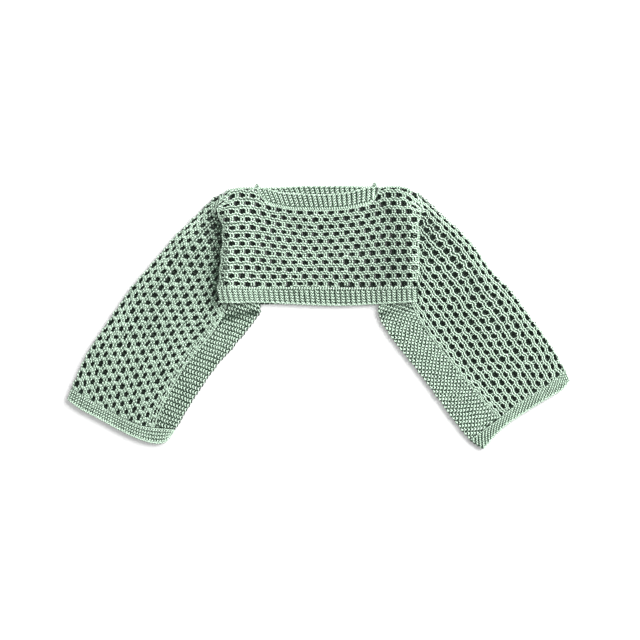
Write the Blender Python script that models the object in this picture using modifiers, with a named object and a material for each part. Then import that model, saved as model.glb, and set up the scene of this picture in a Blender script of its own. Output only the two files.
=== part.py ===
"""Cropped open-knit shrug, laid flat: front, back, sleeves, underarm strips and ribbed or garter bands.

The plan is seen from above: +Y runs up to the neck, -X and +X to the two sleeves, and +Z is up off the
surface. The origin is on that surface, at the middle of the garment.
"""
import bisect
import math

import bmesh
import bpy
from mathutils import Vector

MM = 0.001
MERGE = 0.00005         # metres, where a ring's last row meets its first

# ---------------------------------------------------------------- driving sizes, in millimetres
PLAIN_WALL = 5.0        # knitted wall where it is plain: the under layer and the folds
VALLEY_WALL = 4.0       # wall between two raised ridges or ribs
RIDGE_RISE = 2.4        # how far a ridge or rib stands over the valley beside it
EDGE_WALL = 3.6         # wall along a free or sewn edge, which the yarn rounds off
EDGE_DROP = 0.6         # how much lower a rib is where it meets an edge
BACK_RIB_RISE = 1.6     # ribs on the inner face of the back's neck band
LAYER_SLIT = 0.8        # air between the under and the upper layer
SEAM_GAP = 0.5          # air between two pieces along a seam
CURVED_GAP = 1.0        # and along a seam that curves tightly, where facets cut its corners

NET_ROWS = 11           # eyelet rows up the front, each with a garter ridge under it
SLEEVE_ROWS = 12        # eyelet rows across one side of a sleeve
SLEEVE_COLUMNS = 16     # facets along a sleeve
STRIP_RIDGES = 32       # garter ridges along an underarm strip, 10 mm apart
STRIP_LENGTH = 330.0    # along the underarm, from the hem to the cuff
CUFF_RIDGES = 4         # garter ridges across a cuff
RIB_PITCH = 11.4        # from rib to rib in the hem and neck bands
HEM_WIDTH = 440.0
NECK_WIDTH = 250.0

FOLD_FACETS = 4         # round a folded edge
UNDER_FACETS = 6        # across an under layer, which is plain
CUFF_FACETS = 12        # across one side of a cuff
BACK_FACETS = 14        # down the back
BAND_FACETS = 3         # across a hem or neck band

ARMHOLE_STEP = 7.4      # the front's side edges lie this far up, on the sleeves
ARMHOLE_ROLL = 5.6      # the soft roll just inside each side edge stands this far over the step
ROLL_REACH = 80.0       # how far in from the side edge the front comes down flat
HEM_REACH = 112.0       # and how far at the hem, over the tops of the underarm strips
HEM_SPREAD = 40.0       # the reach grows over this height, above the hem seam
ROLL_SHARE = 0.5        # share of the reach that the roll takes; the step falls off over the rest
ROLL_STOPS = [0, 7, 15, 24, 34, 46, 60]    # columns of the front across the roll, from its edge
SHOULDER_Y = 266.0      # the step starts below this height in the plan
STEP_Y = 238.0          # and is whole from here down
ROLL_Y = 205.0          # as the roll is from here down
HEM_Y = 66.0            # seam of front and hem band
TUCK_Y = 44.0           # where the underarm strips end, under the hem band
RUMPLE = 3.4            # height of the fold across each strip, just outside the hem
RUMPLE_AT = 24.0        # its middle, from the strip's top end
RUMPLE_HALF = 9.0       # and half its width

PLAN_MIDDLE = Vector((0.0, -2.3, 0.0))      # middle of the outlines below, where the origin goes

NET_GREEN = (0.30, 0.47, 0.34)      # sage cotton, linear RGB
BAND_GREEN = (0.33, 0.52, 0.38)

UNDER_TOP = PLAIN_WALL
UPPER_BASE = PLAIN_WALL + LAYER_SLIT
FULL_WALL = VALLEY_WALL + RIDGE_RISE
FOLD_INSET = PLAIN_WALL + LAYER_SLIT / 2

# ---------------------------------------------------------------- plan outlines, rows of (x, y) in mm
# outer edge of the sleeve, from the shoulder to the cuff band
OUTER_LEFT = [(-213, 273), (-250, 246), (-287, 207), (-322, 170), (-366, 119), (-413, 64),
              (-463, -7), (-512, -86), (-546, -157)]
OUTER_RIGHT = [(215, 278), (239, 258), (267, 231), (307, 196), (346, 154), (382, 103),
               (428, 55), (474, -7), (514, -64), (544, -116)]
# seam of sleeve and underarm strip, from under the hem to the cuff band
STRIP_SEAM_LEFT = [(-193, 44), (-212, -2), (-238, -43), (-270, -79), (-297, -117), (-323, -161),
                   (-343, -200), (-361, -244)]
STRIP_SEAM_RIGHT = [(197, 44), (210, 13), (228, -19), (254, -56), (295, -106), (340, -162),
                    (397, -224)]
# the sleeve's inner end, hidden under the front's side edge, from the shoulder to the hem
INNER_END_LEFT = [(-210, 268), (-218, 254), (-223, 239), (-222, 228), (-211, 207), (-197, 158),
                  (-193, 103), (-193, 66)]
INNER_END_RIGHT = [(211, 273), (220, 257), (225, 242), (224, 229), (213, 207), (201, 158),
                   (197, 103), (197, 66)]
# the strip's top end under the hem, from its seam to the underarm edge, and the underarm edge
STRIP_TOP_LEFT = [(-173, 37), (-151, 29), (-130, 25)]
STRIP_TOP_RIGHT = [(177, 37), (155, 29), (135, 25)]
UNDERARM_LEFT = [(-130, 25), (-125, 13), (-134, -3), (-151, -25), (-169, -47), (-194, -76),
                 (-217, -101), (-247, -141), (-277, -188), (-313, -248)]
UNDERARM_RIGHT = [(135, 25), (128, 11), (136, -10), (157, -42), (177, -70), (210, -113),
                  (250, -165), (287, -215), (331, -272)]
# seam of the cuff band on sleeve and strip, from the outer edge, and the cuff's free edge
CUFF_SEAM_LEFT = [(-546, -157), (-481, -195), (-437, -219), (-395, -238), (-362, -244), (-313, -248)]
CUFF_SEAM_RIGHT = [(544, -116), (508, -147), (468, -172), (430, -197), (397, -224), (366, -247),
                   (331, -272)]
CUFF_EDGE_LEFT = [(-554, -180), (-525, -202), (-487, -222), (-443, -246), (-402, -266), (-362, -278),
                  (-338, -276), (-323, -262)]
CUFF_EDGE_RIGHT = [(553, -141), (536, -160), (498, -183), (459, -207), (417, -235), (391, -258),
                   (374, -278), (361, -292)]
# the front's side edges, from the shoulder down to the hem band
SIDE_LEFT = [(-208, 272), (-213, 255), (-217, 240), (-220, 222), (-222, 147), (-223, 66)]
SIDE_RIGHT = [(209, 275), (215, 258), (219, 242), (221, 222), (223, 147), (221, 66)]
# a panel's top edge between its side edges: shoulder, neck seam, shoulder
SHOULDER_LEFT = [(-199, 281), (-173, 285), (-148, 286), (-136, 281)]
SHOULDER_RIGHT = [(136, 281), (148, 288), (179, 288), (199, 283)]
NECK_SEAM = [(-124, 264), (-111, 251), (-89, 244), (-58, 238), (-30, 237), (1, 236), (32, 237),
             (61, 239), (87, 244), (111, 251), (124, 264)]
NECK_EDGE = [(-135, 284), (-116, 283), (-96, 277), (-78, 273), (-41, 271), (1, 269), (43, 271),
             (65, 274), (87, 279), (108, 285), (134, 286)]
# the back's neck band stands a little higher than the front's, so its inner face shows
BACK_NECK_SEAM = [(-120, 258), (-60, 254), (0, 253), (60, 254), (120, 258)]
BACK_NECK_EDGE = [(-132, 284), (-85, 285), (-63, 286), (-32, 288), (8, 288), (61, 288), (132, 286)]
HEM_SEAM = [(-223, 66), (-151, 66), (-1, 65), (146, 65), (221, 66)]
HEM_EDGE = [(-221, 32), (-177, 31), (-140, 32), (-67, 29), (43, 25), (118, 28), (179, 31), (217, 34)]
BACK_HEM_SEAM = [(-192, 66), (-151, 66), (-1, 65), (146, 65), (196, 66)]
BACK_HEM_EDGE = [(-192, 46), (-173, 39), (-151, 31), (-133, 28), (-67, 29), (43, 25), (100, 28),
                 (138, 28), (155, 31), (177, 39), (196, 46)]


# ---------------------------------------------------------------- curves and patches in the plan
def smooth_line(rows, by_x=False):
    """A smooth curve through the rows' points, run from 0 to 1 by length, or evenly along x."""
    points = [Vector(row) for row in rows]
    knots = [0.0]
    for near, far in zip(points, points[1:]):
        knots.append(knots[-1] + ((far.x - near.x) if by_x else (far - near).length))
    knots = [knot / knots[-1] for knot in knots]
    last = len(points) - 1
    slopes = []
    for i in range(last + 1):
        low, high = max(i - 1, 0), min(i + 1, last)
        slopes.append((points[high] - points[low]) / (knots[high] - knots[low]))

    def at(t):
        i = min(max(bisect.bisect_right(knots, t) - 1, 0), last - 1)
        span = knots[i + 1] - knots[i]
        f = (t - knots[i]) / span
        return (points[i] * (2 * f**3 - 3 * f**2 + 1) + slopes[i] * (span * (f**3 - 2 * f**2 + f))
                + points[i + 1] * (3 * f**2 - 2 * f**3) + slopes[i + 1] * (span * (f**3 - f**2)))
    return at


def stretch_of(line, start, end):
    """The part of a curve from start to end, run from 0 to 1. It runs backwards where end is less."""
    return lambda t: line(start + (end - start) * t)


def straight(start, end):
    return lambda t: start * (1 - t) + end * t


def faceted(line, stops):
    """A curve's chords between its stops, so that both pieces on a seam follow the same facets."""
    def at(t):
        i = min(max(bisect.bisect_right(stops, t) - 1, 0), len(stops) - 2)
        return straight(line(stops[i]), line(stops[i + 1]))((t - stops[i]) / (stops[i + 1] - stops[i]))
    return at


def beside(line, distance):
    """The same curve moved sideways, to the left of its run where the distance is positive."""
    step = 0.002

    def at(t):
        run = (line(min(t + step, 1.0)) - line(max(t - step, 0.0))).normalized()
        return line(t) + Vector((-run.y, run.x)) * distance
    return at


def length_of(line, steps=50):
    return sum((line((i + 1) / steps) - line(i / steps)).length for i in range(steps))


def nearest(line, point, steps=4000):
    """Where along a curve, from 0 to 1, it comes closest to a point."""
    return min(range(steps + 1), key=lambda i: (line(i / steps) - Vector(point)).length) / steps


def patch(start, end, near, far):
    """A Coons patch: near and far run along u at v = 0 and 1, start and end along v at u = 0 and 1."""
    corners = [near(0), near(1), far(0), far(1)]

    def at(u, v):
        along = near(u) * (1 - v) + far(u) * v
        across = start(v) * (1 - u) + end(v) * u
        shared = ((corners[0] * (1 - u) + corners[1] * u) * (1 - v)
                  + (corners[2] * (1 - u) + corners[3] * u) * v)
        return along + across - shared
    return at


def ease(value, low, high):
    """0 at low, 1 at high and a soft S between, also where low is the larger."""
    f = min(max((value - low) / (high - low), 0.0), 1.0)
    return f * f * (3 - 2 * f)


def evenly(count):
    return [i / count for i in range(count + 1)]


# ---------------------------------------------------------------- building a wall
def knit_material(name, colour):
    material = bpy.data.materials.new(name)
    material.use_nodes = True
    shader = material.node_tree.nodes["Principled BSDF"]
    shader.inputs["Base Color"].default_value = (*colour, 1.0)
    shader.inputs["Roughness"].default_value = 0.85
    shader.inputs["Metallic"].default_value = 0.0
    material.diffuse_color = (*colour, 1.0)
    return material


def knit_wall(name, columns, rows, place, wall, outward, colour, closed=False):
    """A knitted wall: an open sheet on its inner face, thickened outwards.

    place(i, j) and wall(i, j) give a point of the inner face and the wall over it for column i and
    row j. outward is 1 where the first facet faces up, -1 where it faces down.
    """
    mesh = bpy.data.meshes.new(name)
    sheet = bmesh.new()
    shares = sheet.verts.layers.deform.verify()
    bmesh.ops.create_grid(sheet, x_segments=columns, y_segments=rows, size=0.5)
    first = None
    for vert in sheet.verts:
        i = round((vert.co.x + 0.5) * columns)
        j = round((vert.co.y + 0.5) * rows)
        vert.co = (Vector(place(i, j)) - PLAN_MIDDLE) * MM
        vert[shares][0] = wall(i, j) / FULL_WALL
        if (i, j) == (0, 0):
            first = vert
    sheet.normal_update()
    if first.link_faces[0].normal.z * outward < 0:
        bmesh.ops.reverse_faces(sheet, faces=sheet.faces)
    if closed:
        bmesh.ops.remove_doubles(sheet, verts=sheet.verts, dist=MERGE)
    sheet.to_mesh(mesh)
    sheet.free()
    mesh.shade_smooth()
    mesh.materials.append(knit_material(name, colour))
    piece = bpy.data.objects.new(name, mesh)
    garment.objects.link(piece)
    piece.vertex_groups.new(name="wall")
    thicken = piece.modifiers.new("wall", "SOLIDIFY")
    thicken.thickness = FULL_WALL * MM
    thicken.offset = 1.0
    thicken.vertex_group = "wall"
    thicken.thickness_vertex_group = 0.0
    return piece


def ridged(index):
    """Wall over a valley, at an even index, or over a ridge or rib, at an odd one."""
    return VALLEY_WALL + (RIDGE_RISE if index % 2 else 0.0)


# ---------------------------------------------------------------- how high the front lies
def side_x(rows, y):
    """Where the front's side edge is at a height in the plan."""
    if y <= rows[-1][1]:
        return rows[-1][0]
    for upper, lower in zip(rows, rows[1:]):
        if y >= lower[1]:
            f = min((y - lower[1]) / (upper[1] - lower[1]), 1.0)
            return lower[0] + (upper[0] - lower[0]) * f
    return rows[-1][0]


def lift(x, y):
    """How far the front and its hem band stand up beside the armholes, where they lie on the sleeves."""
    reach = ROLL_REACH + (HEM_REACH - ROLL_REACH) * ease(y, HEM_Y + HEM_SPREAD, TUCK_Y)
    inset = min(x - side_x(SIDE_LEFT, y), side_x(SIDE_RIGHT, y) - x)
    share = max(inset, 0.0) / reach
    step = ARMHOLE_STEP * ease(y, SHOULDER_Y, STEP_Y) * (1 - ease(share, ROLL_SHARE, 1.0))
    roll = ARMHOLE_ROLL * ease(y, SHOULDER_Y, ROLL_Y)
    roll *= math.sin(math.pi * min(share / ROLL_SHARE, 1.0)) ** 2
    return step + roll


def upper_place(plan, across, down):
    """Inner face of an upper-layer piece, over its plan patch and the stops across and down it."""
    def place(i, j):
        point = plan(across[i], down[j])
        return (point.x, point.y, UPPER_BASE + lift(point.x, point.y))
    return place


def under_place(plan, across, down, height=UNDER_TOP):
    """The same for an under-layer piece, which lies level."""
    def place(i, j):
        point = plan(across[i], down[j])
        return (point.x, point.y, height)
    return place


def floor_place(plan, across, down):
    """The face on the surface, for a piece whose form is on its upper side."""
    return under_place(plan, across, down, 0.0)


# ---------------------------------------------------------------- folded pieces
def fold_place(plan, stops, ring, rise=None):
    """Inner face of a folded piece. ring lists, round it, how far each row is from the folded edge to
    the seam and its turn round the fold, 0 on the upper layer and pi on the under one."""
    radius = LAYER_SLIT / 2
    step = 0.01

    def place(i, j):
        share, turn = ring[j]
        point = plan(stops[i], share)
        further_in = plan(stops[i], share + (step if share < 0.5 else -step))
        outward = (point - further_in).normalized()
        point = point + outward * (radius * abs(math.sin(turn)))
        height = UNDER_TOP + radius + radius * math.cos(turn)
        if rise:
            height += rise(stops[i]) * (1 + math.cos(turn)) / 2
        return (point.x, point.y, height)
    return place


def folded_ring(upper_facets):
    """Rows round a piece with one fold: upper layer from its seam, round the fold, under layer."""
    ring = [(1 - share, 0.0) for share in evenly(upper_facets)]
    ring += [(0.0, math.pi * turn) for turn in evenly(FOLD_FACETS)[1:]]
    ring += [(share, math.pi) for share in evenly(UNDER_FACETS)[1:]]
    return ring


def closed_ring():
    """Rows round a cuff: upper layer, underarm fold, under layer, outer fold, back at the start."""
    ring = [(share, 0.0) for share in evenly(CUFF_FACETS)]
    ring += [(1.0, math.pi * turn) for turn in evenly(FOLD_FACETS)[1:]]
    ring += [(1 - share, math.pi) for share in evenly(CUFF_FACETS)[1:]]
    ring += [(0.0, math.pi * (1 + turn)) for turn in evenly(FOLD_FACETS)[1:]]
    return ring


def inner_end_of(inner_end, last):
    """A sleeve's inner end, from its folded outer edge to its last point, at the strip's seam."""
    return faceted(smooth_line(inner_end + [last]), evenly(UNDER_FACETS))


def strip_seam_of(seam, distance):
    """The seam of sleeve and underarm strip, moved sideways to one of the two pieces."""
    return beside(faceted(smooth_line(seam), evenly(SLEEVE_COLUMNS)), distance)


def cuff_seam_of(cuff_seam, first, last, distance):
    """The seam at the cuff between a piece's two corners, moved sideways to the piece."""
    line = smooth_line(cuff_seam)
    return beside(stretch_of(line, nearest(line, first), nearest(line, last)), distance)


def make_sleeve(name, side, outer, seam, inner_end, cuff_seam):
    """The net sleeve: side is 1 for the right and -1 for the left, to put the insets inside."""
    edge = beside(smooth_line(outer), -side * FOLD_INSET)
    far = strip_seam_of(seam, side * SEAM_GAP / 2)
    start = inner_end_of([edge(0)] + inner_end[1:], far(0))
    end = cuff_seam_of(cuff_seam, edge(1), far(1), -side * CURVED_GAP / 2)
    plan = patch(start, end, edge, far)
    ring = folded_ring(2 * SLEEVE_ROWS)
    upper_rows = 2 * SLEEVE_ROWS

    def wall(i, j):
        if j == 0 or j == len(ring) - 1 or i in (0, SLEEVE_COLUMNS):
            return PLAIN_WALL if j > upper_rows else EDGE_WALL
        return ridged(j) if j < upper_rows else PLAIN_WALL

    place = fold_place(plan, evenly(SLEEVE_COLUMNS), ring)
    return knit_wall(name, SLEEVE_COLUMNS, len(ring) - 1, place, wall, 1, NET_GREEN)


def make_gusset(name, side, underarm, seam, top, cuff_seam):
    """The garter strip along the underarm, folded there, with its ridges across it."""
    edge = beside(smooth_line(underarm), side * FOLD_INSET)
    far = strip_seam_of(seam, -side * SEAM_GAP / 2)
    start = stretch_of(smooth_line([far(0)] + top[:-1] + [edge(0)]), 1.0, 0.0)
    end = cuff_seam_of(cuff_seam, edge(1), far(1), side * CURVED_GAP / 2)
    plan = patch(start, end, edge, far)
    upper_rows = BAND_FACETS
    ring = folded_ring(upper_rows)
    columns = 2 * STRIP_RIDGES

    def wall(i, j):
        if j > upper_rows:
            return PLAIN_WALL
        if j == 0 or i in (0, columns):
            return EDGE_WALL
        return ridged(i)

    def rumple(share):
        away = abs(share * STRIP_LENGTH - RUMPLE_AT) / RUMPLE_HALF
        return RUMPLE * (1 - ease(away, 0.0, 1.0))

    place = fold_place(plan, evenly(columns), ring, rumple)
    return knit_wall(name, columns, len(ring) - 1, place, wall, 1, NET_GREEN)


def make_cuff(name, side, cuff_seam, cuff_edge):
    """The cuff band, a flattened ring, with its garter ridges round it."""
    seam, free = smooth_line(cuff_seam), smooth_line(cuff_edge)
    inset = FOLD_INSET / length_of(seam)
    seam = beside(stretch_of(seam, inset, 1 - inset), side * CURVED_GAP / 2)
    free = stretch_of(free, inset, 1 - inset)
    plan = patch(seam, free, straight(seam(0), free(0)), straight(seam(1), free(1)))
    ring = closed_ring()
    columns = 2 * CUFF_RIDGES

    def wall(i, j):
        on_top = 0 < j < CUFF_FACETS
        if not on_top:
            return PLAIN_WALL
        return EDGE_WALL if i in (0, columns) else ridged(i)

    place = fold_place(plan, evenly(columns), ring)
    return knit_wall(name, columns, len(ring) - 1, place, wall, 1, BAND_GREEN, closed=True)


# ---------------------------------------------------------------- flat pieces
def chords(rows):
    """Straight chords through the rows' points, run evenly along x, and the stops at those points."""
    width = rows[-1][0] - rows[0][0]
    stops = [(row[0] - rows[0][0]) / width for row in rows]
    return faceted(smooth_line(rows, by_x=True), stops), stops


def top_edge(first, neck_rows, last):
    """A panel's top edge from one side edge's end to the other's, with its stops."""
    return chords([tuple(first)] + SHOULDER_LEFT + neck_rows + SHOULDER_RIGHT + [tuple(last)])


def neck_seam_of(neck_rows):
    """The part of a top edge that a neck band is sewn to, on the band's side."""
    line, stops = chords(neck_rows)
    return beside(line, CURVED_GAP)


def make_front():
    """The front: net rows raised as level ridges, between the armholes, the neck and the hem seam."""
    near, stops = top_edge(SIDE_LEFT[0], NECK_SEAM, SIDE_RIGHT[0])
    far = beside(smooth_line(HEM_SEAM, by_x=True), SEAM_GAP / 2)
    plan = patch(smooth_line(SIDE_LEFT), smooth_line(SIDE_RIGHT), near, far)
    roll = [stop / HEM_WIDTH for stop in ROLL_STOPS]
    middle = [stop for stop in stops if roll[-1] < stop < 1 - roll[-1]]
    across = roll + middle + [1 - stop for stop in reversed(roll)]
    down = evenly(2 * NET_ROWS)
    columns, rows = len(across) - 1, len(down) - 1

    def wall(i, j):
        return EDGE_WALL if i in (0, columns) or j in (0, rows) else ridged(j)

    knit_wall("front", columns, rows, upper_place(plan, across, down), wall, 1, NET_GREEN)


def make_back():
    far = beside(smooth_line(BACK_HEM_SEAM, by_x=True), SEAM_GAP / 2)
    left = inner_end_of(INNER_END_LEFT, STRIP_SEAM_LEFT[0])
    right = inner_end_of(INNER_END_RIGHT, STRIP_SEAM_RIGHT[0])
    start = beside(stretch_of(left, 0.0, nearest(left, INNER_END_LEFT[-1])), CURVED_GAP)
    end = beside(stretch_of(right, 0.0, nearest(right, INNER_END_RIGHT[-1])), -CURVED_GAP)
    near, across = top_edge(start(0), BACK_NECK_SEAM, end(0))
    plan = patch(start, end, near, far)
    down = evenly(BACK_FACETS)
    place = under_place(plan, across, down)
    knit_wall("back", len(across) - 1, BACK_FACETS, place, lambda i, j: PLAIN_WALL, -1, NET_GREEN)


def make_ribbed_band(name, near, far, width, base, valley, rise, outward):
    """A band between its near and far edges, with upright ribs where rise isn't 0."""
    plan = patch(straight(near(0), far(0)), straight(near(1), far(1)), near, far)
    columns = 2 * round(width / RIB_PITCH)
    across, down = evenly(columns), evenly(BAND_FACETS)

    def wall(i, j):
        on_edge = i in (0, columns) or j in (0, BAND_FACETS)
        return valley + rise * (i % 2) - (EDGE_DROP if rise and on_edge else 0.0)

    knit_wall(name, columns, BAND_FACETS, base(plan, across, down), wall, outward, BAND_GREEN)


def make_bands():
    hem_seam = beside(smooth_line(HEM_SEAM, by_x=True), -SEAM_GAP / 2)
    make_ribbed_band("hem_front", hem_seam, smooth_line(HEM_EDGE, by_x=True), HEM_WIDTH,
                     upper_place, VALLEY_WALL, RIDGE_RISE, 1)
    # the back's hem band is plain on the surface side, so half as many facets do
    hem_seam = beside(smooth_line(BACK_HEM_SEAM, by_x=True), -SEAM_GAP / 2)
    make_ribbed_band("hem_back", hem_seam, smooth_line(BACK_HEM_EDGE, by_x=True), HEM_WIDTH / 2,
                     under_place, PLAIN_WALL, 0.0, -1)
    make_ribbed_band("neck_front", smooth_line(NECK_EDGE, by_x=True), neck_seam_of(NECK_SEAM),
                     NECK_WIDTH, upper_place, VALLEY_WALL, RIDGE_RISE, 1)
    make_ribbed_band("neck_back", smooth_line(BACK_NECK_EDGE, by_x=True),
                     neck_seam_of(BACK_NECK_SEAM), NECK_WIDTH,
                     floor_place, PLAIN_WALL - BACK_RIB_RISE, BACK_RIB_RISE, 1)


def build():
    for leftover in list(bpy.data.objects):
        bpy.data.objects.remove(leftover, do_unlink=True)
    bpy.context.scene.collection.children.link(garment)
    make_front()
    make_back()
    make_sleeve("sleeve_left", -1, OUTER_LEFT, STRIP_SEAM_LEFT, INNER_END_LEFT, CUFF_SEAM_LEFT)
    make_sleeve("sleeve_right", 1, OUTER_RIGHT, STRIP_SEAM_RIGHT, INNER_END_RIGHT, CUFF_SEAM_RIGHT)
    make_gusset("gusset_left", -1, UNDERARM_LEFT, STRIP_SEAM_LEFT, STRIP_TOP_LEFT, CUFF_SEAM_LEFT)
    make_gusset("gusset_right", 1, UNDERARM_RIGHT, STRIP_SEAM_RIGHT, STRIP_TOP_RIGHT, CUFF_SEAM_RIGHT)
    make_cuff("cuff_left", -1, CUFF_SEAM_LEFT, CUFF_EDGE_LEFT)
    make_cuff("cuff_right", 1, CUFF_SEAM_RIGHT, CUFF_EDGE_RIGHT)
    make_bands()


garment = bpy.data.collections.new("knitted shrug")
build()
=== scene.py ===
"""Cropped open-knit shrug, laid flat: courses of yarn knitted over the frame's panels.

Plan sizes are millimetres: +Y runs up to the neck, -X and +X to the two sleeves, +Z up off the table.
"""
import math
from collections import namedtuple

import bpy
import numpy as np
from bpy.props import FloatProperty, FloatVectorProperty, PointerProperty
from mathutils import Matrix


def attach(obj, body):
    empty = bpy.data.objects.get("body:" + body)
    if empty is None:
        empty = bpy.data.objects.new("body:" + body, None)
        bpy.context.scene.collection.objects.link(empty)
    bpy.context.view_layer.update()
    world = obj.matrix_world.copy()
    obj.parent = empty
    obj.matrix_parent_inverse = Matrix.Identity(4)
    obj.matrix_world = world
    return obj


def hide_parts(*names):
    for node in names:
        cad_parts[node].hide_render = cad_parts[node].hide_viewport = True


bl_info = {
    "name": "Knitted shrug",
    "version": (1, 0, 0),
    "blender": (4, 5, 0),
    "location": "View3D > Sidebar > Shrug",
    "description": "Knits a cropped net shrug, laid flat, over its frame",
    "category": "Object",
}

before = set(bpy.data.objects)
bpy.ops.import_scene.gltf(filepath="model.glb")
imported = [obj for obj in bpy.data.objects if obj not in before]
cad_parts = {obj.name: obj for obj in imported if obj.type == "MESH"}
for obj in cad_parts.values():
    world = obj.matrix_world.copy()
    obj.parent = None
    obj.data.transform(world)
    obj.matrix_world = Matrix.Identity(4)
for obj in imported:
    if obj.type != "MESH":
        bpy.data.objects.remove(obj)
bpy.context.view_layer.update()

MM = 0.001
PLAN_MIDDLE = np.array([0.0, -2.3, 0.0])
CAP_MERGE = 1e-7        # metres, where an end cap meets its yarn
EMPTY_CELL = 1e-7       # square metres, a cell of a sheet that its outline has squeezed flat
SIDES = {"left": -1, "right": 1}
NUDGE = 0.002           # the share of a curve over which its direction is taken
FINE_STOPS = 4001       # places tried when the closest point of a curve is sought

# ---- how the cloth lies, in millimetres
UPPER_MID = 9.3         # middle of the upper layer's yarn
UNDER_MID = 3.0
LAYER_MID = (UPPER_MID + UNDER_MID) / 2
UNDER_FLATTEN = 0.6     # the under layer is pressed flatter
FOLD_RADIUS = (UPPER_MID - UNDER_MID) / 2
FOLD_LENGTH = FOLD_RADIUS * math.pi / 2     # from the top of a fold to its outermost line
FOLD_INSET = 6.0        # from the outline to the fold's middle line
SEAM_INSET = 0.8        # a panel's yarn ends this far from its seam
NET_SHEET_DROP = 0.8    # the upper layer's sheet lies this far below the middle of its yarn
DENSE_SHEET_DROP = 0.9
LEVEL_WOBBLE = 0.8      # hand-made unevenness of the yarn
FOLDED_WOBBLE = 1.0
BAND_WOBBLE = 0.3       # of the cuffs too

ARMHOLE_STEP = 7.4      # the front's side edges lie this far up, on the sleeves
ARMHOLE_ROLL = 5.6      # the soft roll just inside each side edge
ARMHOLE_DIP = 2.4       # how far the sleeve is pressed down there
DIP_ENDS = (0.09, 0.17)     # shares of the sleeve's length over which the dip fades out
ROLL_REACH = 80.0       # from a side edge to where the front lies flat, and the same at the hem
HEM_REACH = 112.0
HEM_SPREAD = 40.0       # how far above the hem's seam the one turns into the other
ROLL_SHARE = 0.5        # share of that reach which the roll takes up
# heights in the plan: the shoulder, where the step and the roll are full, the hem's seam, the band
SHOULDER_Y = 266.0
STEP_Y = 238.0
ROLL_Y = 205.0
HEM_Y = 66.0
TUCK_Y = 44.0
SIDE_INSET = 2.0        # how far in from its side edge a panel's yarn ends
SHOULDER_REACH = 8.5    # at the shoulders the front's yarn runs this much further out
STRIP_LENGTH = 330.0
RUMPLE = 3.4            # the fold across each underarm strip, its place down it and half its width
RUMPLE_AT = 24.0
RUMPLE_HALF = 9.0

# painted shade and light in the yarn's tone beside the front's edges, each with its reach
VALLEY_SHADE = (0.66, 20.0)     # on the sleeve, on the side away from the light
EDGE_SHADE = (0.34, 6.0)        # where the front rolls down to it
EDGE_LIGHT = (-0.12, 16.0)      # and on the front's edge that faces the light
FRONT_PAINTED_SLOPE = 0.07              # the front is lighter on its left and darker on its right

# ---- plan outlines, rows of (x, y)
OUTER = {
    "left": [(-213, 273), (-250, 246), (-287, 207), (-322, 170), (-366, 119), (-413, 64), (-463, -7),
             (-512, -86), (-546, -157)],
    "right": [(215, 278), (239, 258), (267, 231), (307, 196), (346, 154), (382, 103), (428, 55),
              (474, -7), (514, -64), (544, -116)],
}
STRIP_SEAM = {
    "left": [(-193, 44), (-212, -2), (-238, -43), (-270, -79), (-297, -117), (-323, -161), (-343, -200),
             (-361, -244)],
    "right": [(197, 44), (210, 13), (228, -19), (254, -56), (295, -106), (340, -162), (397, -224)],
}
INNER_END = {
    "left": [(-210, 268), (-218, 254), (-223, 239), (-222, 228), (-211, 207), (-197, 158), (-193, 103),
             (-193, 66)],
    "right": [(211, 273), (220, 257), (225, 242), (224, 229), (213, 207), (201, 158), (197, 103),
              (197, 66)],
}
STRIP_TOP = {
    "left": [(-130, 38), (-151, 40), (-173, 42)],
    "right": [(134, 38), (155, 40), (177, 42)],
}
UNDERARM = {
    "left": [(-130, 38), (-126, 24), (-126, 11), (-134, -3), (-151, -25), (-169, -47), (-194, -76),
             (-217, -101), (-247, -141), (-277, -188), (-313, -248)],
    "right": [(134, 38), (129, 24), (129, 10), (136, -10), (157, -42), (177, -70), (210, -113),
              (250, -165), (287, -215), (331, -272)],
}
CUFF_SEAM = {
    "left": [(-546, -157), (-481, -195), (-437, -219), (-395, -238), (-362, -244), (-313, -248)],
    "right": [(544, -116), (508, -147), (468, -172), (430, -197), (397, -224), (366, -247), (331, -272)],
}
CUFF_EDGE = {
    "left": [(-554, -180), (-525, -202), (-487, -222), (-443, -246), (-402, -266), (-362, -278),
             (-338, -276), (-323, -262)],
    "right": [(553, -141), (536, -160), (498, -183), (459, -207), (417, -235), (391, -258), (374, -278),
              (361, -292)],
}
FRONT_SIDE = {
    "left": [(-208, 272), (-213, 255), (-217, 240), (-217, 222), (-213, 195), (-213, 165), (-216, 135),
             (-219, 100), (-222, 66)],
    "right": [(209, 275), (215, 258), (219, 242), (221, 222), (223, 147), (221, 66)],
}
SHOULDER_LEFT = [(-208, 272), (-199, 281), (-173, 285), (-148, 286), (-136, 285)]
SHOULDER_RIGHT = [(136, 286), (148, 288), (179, 288), (199, 283), (209, 275)]
NECK_SEAM = [(-124, 264), (-111, 251), (-89, 244), (-58, 238), (-30, 237), (1, 236), (32, 237),
             (61, 239), (87, 244), (111, 251), (124, 264)]
NECK_EDGE = [(-135, 284), (-116, 283), (-96, 277), (-78, 273), (-41, 271), (1, 269), (43, 271),
             (65, 274), (87, 279), (108, 285), (134, 286)]
BACK_NECK_SEAM = [(-120, 258), (-60, 254), (0, 253), (60, 254), (120, 258)]
BACK_NECK_EDGE = [(-132, 284), (-85, 285), (-63, 286), (-32, 288), (8, 288), (61, 288), (132, 286)]
HEM_SEAM = [(-223, 66), (-151, 66), (-1, 65), (146, 65), (221, 66)]
HEM_EDGE = [(-221, 32), (-177, 31), (-140, 32), (-67, 29), (43, 25), (118, 28), (179, 31), (217, 34)]
BACK_HEM_SEAM = [(-192, 66), (-151, 66), (-1, 65), (146, 65), (196, 66)]
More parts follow.
